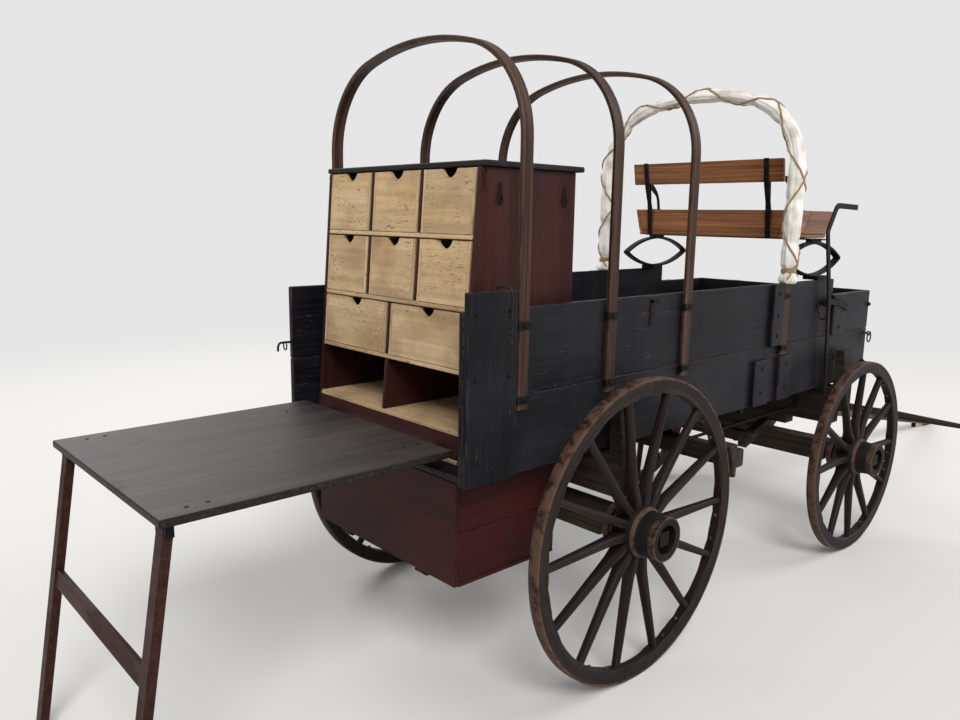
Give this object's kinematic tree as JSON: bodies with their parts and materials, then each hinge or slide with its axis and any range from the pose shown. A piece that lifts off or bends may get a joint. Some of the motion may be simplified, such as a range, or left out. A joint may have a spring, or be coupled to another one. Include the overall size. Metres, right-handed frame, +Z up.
{
  "type": "chuck wagon",
  "caption": "Horse-drawn farm wagon fitted out as a camp kitchen: box on spoked wheels, bare bows, cover gathered at the front, drawer chest with drop table, seat on leaf springs.",
  "frame": {"origin": "on the ground, under the middle of the whole length from the tongue's tip to the table's feet", "axes": "+Z up, -Y towards the front, -X to the wagon's right"},
  "size_m": [1.9, 7.2594, 2.4958],
  "materials": {
    "wheel_wood": "weathered oiled spokes and felloes",
    "tyre_iron": "forged iron rubbed by the road",
    "gear_wood": "dark weathered hardwood",
    "tongue_wood": "bare weathered pole",
    "iron": "blackened forged iron",
    "box_paint": "worn blue-black paint on boards",
    "bow_wood": "oiled bent hardwood",
    "canvas": "washed cotton duck",
    "chuck_paint": "dark brown painted boards",
    "drawer_paint": "cream paint worn to the wood",
    "lid_wood": "dark stained board",
    "table_wood": "scrubbed grey board",
    "leg_wood": "red-brown hardwood",
    "red_paint": "dark red paint on boards",
    "seat_wood": "varnished pine"
  },
  "bodies": {
    "wagon": {"rear_axle": "gear_wood", "rear_skeins": "iron", "reach": "gear_wood", "rear_hounds": "gear_wood", "rear_bolster": "gear_wood", "front_bolster": "gear_wood", "king_bolt": "iron", "floor": "box_paint", "side_boards_right": "box_paint", "side_boards_left": "box_paint", "front_end_board": "box_paint", "rear_corner_board": "box_paint", "bows": "bow_wood", "front_bow": "bow_wood", "canvas": "canvas", "bow_staples": "iron", "chuck_box": "chuck_paint", "chuck_shelves": "drawer_paint", "chuck_dividers": "drawer_paint", "chuck_box_top": "lid_wood", "hinge_irons": "iron", "boot": "red_paint", "seat_boards": "seat_wood", "seat_irons": "iron", "brake_irons": "iron", "brake_beam": "gear_wood"},
    "front_gear": {"front_axle": "gear_wood", "front_skeins": "iron", "sand_board": "gear_wood", "front_hounds": "gear_wood"},
    "rear_wheel_right": {"wheel_rear_right": "wheel_wood", "tyre_rear_right": "tyre_iron"},
    "rear_wheel_left": {"wheel_rear_left": "wheel_wood", "tyre_rear_left": "tyre_iron"},
    "front_wheel_right": {"wheel_front_right": "wheel_wood", "tyre_front_right": "tyre_iron"},
    "front_wheel_left": {"wheel_front_left": "wheel_wood", "tyre_front_left": "tyre_iron"},
    "tongue": {"tongue": "tongue_wood", "tongue_irons": "iron"},
    "doubletree": {"doubletree": "gear_wood", "doubletree_clevises": "iron"},
    "singletree_right": {"singletree_right": "gear_wood", "singletree_right_iron": "iron"},
    "singletree_left": {"singletree_left": "gear_wood", "singletree_left_iron": "iron"},
    "table": {"drop_table": "table_wood", "table_irons": "iron"},
    "table_legs": {"table_legs": "leg_wood"},
    "boot_door": {"boot_door": "red_paint"},
    "drawer_1": {"drawer_1": "drawer_paint"},
    "drawer_2": {"drawer_2": "drawer_paint"},
    "drawer_3": {"drawer_3": "drawer_paint"},
    "drawer_4": {"drawer_4": "drawer_paint"},
    "drawer_5": {"drawer_5": "drawer_paint"},
    "drawer_6": {"drawer_6": "drawer_paint"},
    "drawer_7": {"drawer_7": "drawer_paint"},
    "drawer_8": {"drawer_8": "drawer_paint"}
  },
  "joints": [
    {"name": "front_steer", "type": "hinge", "parent": "wagon", "child": "front_gear", "pos_m": [0, -0.23897, 0.6425], "axis": [0, 0, 1], "range_deg": [-14, 14]},
    {"name": "rear_wheel_right_spin", "type": "hinge", "parent": "wagon", "child": "rear_wheel_right", "pos_m": [-0.728, 1.73603, 0.61], "axis": [1, 0, 0], "continuous": true},
    {"name": "rear_wheel_left_spin", "type": "hinge", "parent": "wagon", "child": "rear_wheel_left", "pos_m": [0.728, 1.73603, 0.61], "axis": [1, 0, 0], "continuous": true},
    {"name": "front_wheel_right_spin", "type": "hinge", "parent": "front_gear", "child": "front_wheel_right", "pos_m": [-0.728, -0.23897, 0.53], "axis": [1, 0, 0], "continuous": true},
    {"name": "front_wheel_left_spin", "type": "hinge", "parent": "front_gear", "child": "front_wheel_left", "pos_m": [0.728, -0.23897, 0.53], "axis": [1, 0, 0], "continuous": true},
    {"name": "tongue_lift", "type": "hinge", "parent": "front_gear", "child": "tongue", "pos_m": [0, -0.73397, 0.615], "axis": [-1, 0, 0], "range_deg": [0, 40]},
    {"name": "doubletree_swing", "type": "hinge", "parent": "tongue", "child": "doubletree", "pos_m": [0, -1.09896, 0.60312], "axis": [0, -0.1998, 0.9798], "range_deg": [-10, 10]},
    {"name": "singletree_right_swing", "type": "hinge", "parent": "doubletree", "child": "singletree_right", "pos_m": [-0.55, -1.18224, 0.58614], "axis": [0, -0.1998, 0.9798], "range_deg": [-10, 10]},
    {"name": "singletree_left_swing", "type": "hinge", "parent": "doubletree", "child": "singletree_left", "pos_m": [0.55, -1.18224, 0.58614], "axis": [0, -0.1998, 0.9798], "range_deg": [-10, 10]},
    {"name": "table_fold", "type": "hinge", "parent": "wagon", "child": "table", "pos_m": [0, 2.48513, 0.995], "axis": [1, 0, 0], "range_deg": [0, 94.4]},
    {"name": "legs_fold", "type": "hinge", "parent": "table", "child": "table_legs", "pos_m": [0, 3.45703, 0.972], "axis": [-1, 0, 0], "range_deg": [0, 99.2]},
    {"name": "boot_door_open", "type": "hinge", "parent": "wagon", "child": "boot_door", "pos_m": [0, 2.44703, 0.49], "axis": [-1, 0, 0], "range_deg": [0, 90]},
    {"name": "drawer_1_slide", "type": "slide", "parent": "wagon", "child": "drawer_1", "axis": [0, -1, 0], "range_m": [-0.3, 0]},
    {"name": "drawer_2_slide", "type": "slide", "parent": "wagon", "child": "drawer_2", "axis": [0, -1, 0], "range_m": [-0.3, 0]},
    {"name": "drawer_3_slide", "type": "slide", "parent": "wagon", "child": "drawer_3", "axis": [0, -1, 0], "range_m": [-0.3, 0]},
    {"name": "drawer_4_slide", "type": "slide", "parent": "wagon", "child": "drawer_4", "axis": [0, -1, 0], "range_m": [-0.3, 0]},
    {"name": "drawer_5_slide", "type": "slide", "parent": "wagon", "child": "drawer_5", "axis": [0, -1, 0], "range_m": [-0.3, 0]},
    {"name": "drawer_6_slide", "type": "slide", "parent": "wagon", "child": "drawer_6", "axis": [0, -1, 0], "range_m": [-0.3, 0]},
    {"name": "drawer_7_slide", "type": "slide", "parent": "wagon", "child": "drawer_7", "axis": [0, -1, 0], "range_m": [-0.3, 0]},
    {"name": "drawer_8_slide", "type": "slide", "parent": "wagon", "child": "drawer_8", "axis": [0, -1, 0], "range_m": [-0.3, 0]}
  ]
}
